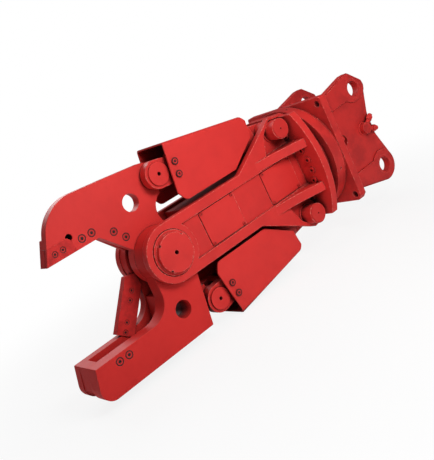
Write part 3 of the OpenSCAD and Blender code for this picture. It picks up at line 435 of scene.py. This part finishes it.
def make_beads(material):
    """The weld seams that show: one piece for each group on one body. Places are in
    millimetres from the main pin."""
    groups = {"bracket": [], "body": []}
    out_x, out_z = np.array([1.0, 0, 0]), np.array([0, 0, 1.0])
    ear_foot, ear_low, ear_top = 1065, -244, 237
    plate_front, rib_inside, rib_outside = 868, 146, 242
    for side in (-1, 1):
        out_y = np.array([0, float(side), 0])
        # each ear on the base plate, along both its faces
        for face, way in ((190, 1), (158, -1)):
            seam = line(from_tool(ear_foot, side * face, ear_low),
                        from_tool(ear_foot, side * face, ear_top))
            groups["bracket"].append(bead_grid(seam, out_x, way * out_y, 0.009))
        for up in (-1, 1):
            # each rib of the side plates on the end plate, along both its faces
            for face, way in ((131, up), (104, -up)):
                seam = line(from_tool(plate_front, side * rib_inside, up * face),
                            from_tool(plate_front, side * rib_outside, up * face))
                groups["body"].append(bead_grid(seam, -out_x, way * out_z, 0.008))
            # the bosses of the cylinders' rear pins
            points, out = ring_path(from_tool(799, side * 118, up * 230), 0.050, "y")
            groups["body"].append(bead_grid(points, out, out_y, 0.007, closed=True))
        # the oil port blocks on the ears
        points, out = ring_path(from_tool(1325, side * 190, -3), 0.030, "y")
        groups["bracket"].append(bead_grid(points, out, out_y, 0.006, closed=True))
    # the neck behind the end plate
    points, out = ring_path(from_tool(906, 0, 0), 0.236, "x")
    groups["body"].append(bead_grid(points, out, out_x, 0.009, closed=True))
    for body, grids in groups.items():
        ringed = [bool(np.allclose(grid[0], grid[-1], atol=1e-6)) for grid in grids]
        sheet_mesh(f"weld_seams_{body}", list(zip(grids, ringed)), material, body)


def shadow_ring(centre, side, radius, half_width, proud):
    """Flat ring of painted shadow around a sunk bolt head. At angle t around Y and u around its section a
    point is centre + (radius + half_width cos u) * out(t) + proud sin u * side, out(t) in the XZ plane."""
    t = np.linspace(0, 2 * np.pi, 41)
    u = np.linspace(0, 2 * np.pi, 8, endpoint=False)
    out = np.stack([np.sin(t), 0 * t, np.cos(t)], axis=1)[:, None]
    reach = (radius + half_width * np.cos(u))[None, :, None]
    lift = (proud * np.sin(u))[None, :, None] * np.array([0.0, side, 0.0])
    return np.asarray(centre, float) + reach * out + lift, True


def socket_shade_disc(centre, side, radius, depth):
    """Disc of painted shade in a hexagon socket: rows of a circle whose radius shrinks a little from
    depth inside the head to 1 mm under its face."""
    t = np.linspace(0, 2 * np.pi, 24, endpoint=False)
    rim = np.stack([np.sin(t), 0 * t, np.cos(t)], axis=1)[None]
    inward = np.array([depth, 0.0014, 0.001])[:, None, None] * np.array([0.0, -side, 0.0])
    size = np.array([radius, radius, radius * 0.8])[:, None, None]
    return np.asarray(centre, float) + size * rim + inward, False


def make_bolt_shadows(material):
    """Black rings of painted shadow around the bolt heads and discs of painted shade in their sockets.
    Each row gives the centre of a head's face in mm, the side it looks to, and the head's radius."""
    groups = {"upper_jaw": [(x, -25, z, -1, 15) for x, z in
                            ((-1655, 28), (-1605, 28), (-1511.8, -17.6), (-1471.5, -64.7))]
                           + [(x, -23, 28, -1, 11.5) for x in (-1790, -1751)],
              "lower_jaw": [(x, -107, -479, -1, 15) for x in (-1748, -1798)]
                           + [(x, 52, z, -1, 12) for x, z in
                              ((-1532.1, -299.4), (-1560.2, -333.3), (-1622.7, -408.7), (-1650.8, -442.6))]}
    for body, heights in (("upper_rod_group", (69.3, 126.8)), ("lower_rod_group", (-491.3, -548.8))):
        groups[body] = [(x, side * 124, z, side, 13) for side in (-1, 1)
                        for x, z in zip((-1145.3, -1137.4), heights)]
    for body, heads in groups.items():
        sheets = []
        for x, y, z, side, head in heads:
            face = np.array([x, y, z], float) / 1000.0
            sheets.append(shadow_ring(face, side, (head + 1.2) / 1000.0, 0.0024, 0.0005))
            sheets.append(socket_shade_disc(face, side, head * 0.42 / 1000.0, 0.005))
        sheet_mesh(f"bolt_shadow_pieces_{body}", sheets, material, body)


# ---------------------------------------------------------------- stage
def light(name, place, target, size, power, colour=(1.0, 1.0, 1.0)):
    """A rectangular lamp that the camera doesn't see, turned towards target."""
    data = bpy.data.lights.new(name, "AREA")
    data.shape, data.size, data.size_y = "RECTANGLE", size[0], size[1]
    data.energy, data.color = power, colour
    lamp = bpy.data.objects.new(name, data)
    lamp.visible_camera = False
    bpy.context.scene.collection.objects.link(lamp)
    place, target = np.array(place, float), np.array(target, float)
    back = (place - target) / np.linalg.norm(place - target)
    right = np.cross([0.0, 0.0, 1.0], back)
    right /= np.linalg.norm(right)
    lamp.matrix_world = placed(right, np.cross(back, right), back, place)


def make_stage(low):
    """A pale floor just under low, the object's lowest corner, a pale world and soft lamps. The
    camera sees the floor's own white as well as its shadow: the white rises from dim near the
    object to 1 away from it."""
    half_size, dim, near, far = 30.0, 0.86, 0.9, 2.4
    height = low[2] - 0.003
    corners = np.array([[-1, -1], [1, -1], [1, 1], [-1, 1]], float) * half_size
    mesh = bpy.data.meshes.new("floor")
    mesh.from_pydata([(x, y, height) for x, y in corners], [], [(0, 1, 2, 3)])
    floor = bpy.data.objects.new("floor", mesh)
    bpy.context.scene.collection.objects.link(floor)
    finish = Finish("pale_floor", Roughness=0.9, Base_Color=(0.88, 0.88, 0.88, 1.0))
    seen = finish.add("ShaderNodeLightPath", out="Is Camera Ray")
    values = {0: finish.place, 1: [-0.9, 0.0, height]}
    away = finish.add("ShaderNodeVectorMath", {"operation": "DISTANCE"}, values, out="Value")
    white = dim + (1.0 - dim) * away.over(near, far)
    glow = finish.add("ShaderNodeEmission", {}, {"Color": (1.0, 1.0, 1.0, 1.0), "Strength": 1.0})
    values = {0: seen * white, 1: Signal(finish, finish.shader.outputs[0]), 2: glow}
    mixed = finish.add("ShaderNodeMixShader", {}, values)
    finish.tree.links.new(mixed.socket, finish.output.inputs[0])
    mesh.materials.append(finish.material)

    world = bpy.data.worlds.new("world")
    bpy.context.scene.world = world
    world.use_nodes = True
    tree = world.node_tree
    tree.nodes.clear()
    out = tree.nodes.new("ShaderNodeOutputWorld")
    path = tree.nodes.new("ShaderNodeLightPath")
    room = tree.nodes.new("ShaderNodeBackground")
    seen = tree.nodes.new("ShaderNodeBackground")
    room.inputs["Color"].default_value = (0.9, 0.92, 1.0, 1.0)
    room.inputs["Strength"].default_value = 0.13
    seen.inputs["Color"].default_value = (1.0, 1.0, 1.0, 1.0)
    seen.inputs["Strength"].default_value = 1.0
    either = tree.nodes.new("ShaderNodeMath")
    either.operation, either.use_clamp = "MAXIMUM", True
    tree.links.new(path.outputs["Is Camera Ray"], either.inputs[0])
    tree.links.new(path.outputs["Is Transmission Ray"], either.inputs[1])
    blend = tree.nodes.new("ShaderNodeMixShader")
    tree.links.new(either.outputs[0], blend.inputs[0])
    tree.links.new(room.outputs[0], blend.inputs[1])
    tree.links.new(seen.outputs[0], blend.inputs[2])
    tree.links.new(blend.outputs[0], out.inputs[0])

    middle = [-0.9, 0.0, -0.2]
    light("key_lamp", [-0.98, -1.98, 0.98], [-1.05, 0.0, -0.1], (0.9, 0.9), 33.0, (1.0, 0.99, 0.97))
    light("top_lamp", [-0.4, -0.6, 4.4], middle, (2.6, 2.6), 36.0)
    light("front_lamp", [-5.0, -1.4, 0.8], middle, (2.4, 2.4), 8.0)
    light("back_lamp", [-0.6, 4.6, 2.2], middle, (2.6, 2.6), 105.0)


make_camera()
finishes = dress_all()
make_beads(finishes["red paint"])
# Painted shadows: black rings around the bolt heads and dark discs in their sockets
make_bolt_shadows(painted_shadow_black("painted_shadow_black"))
make_stage(cad_box[0])

view = bpy.context.scene.view_settings
view.view_transform = "Standard"
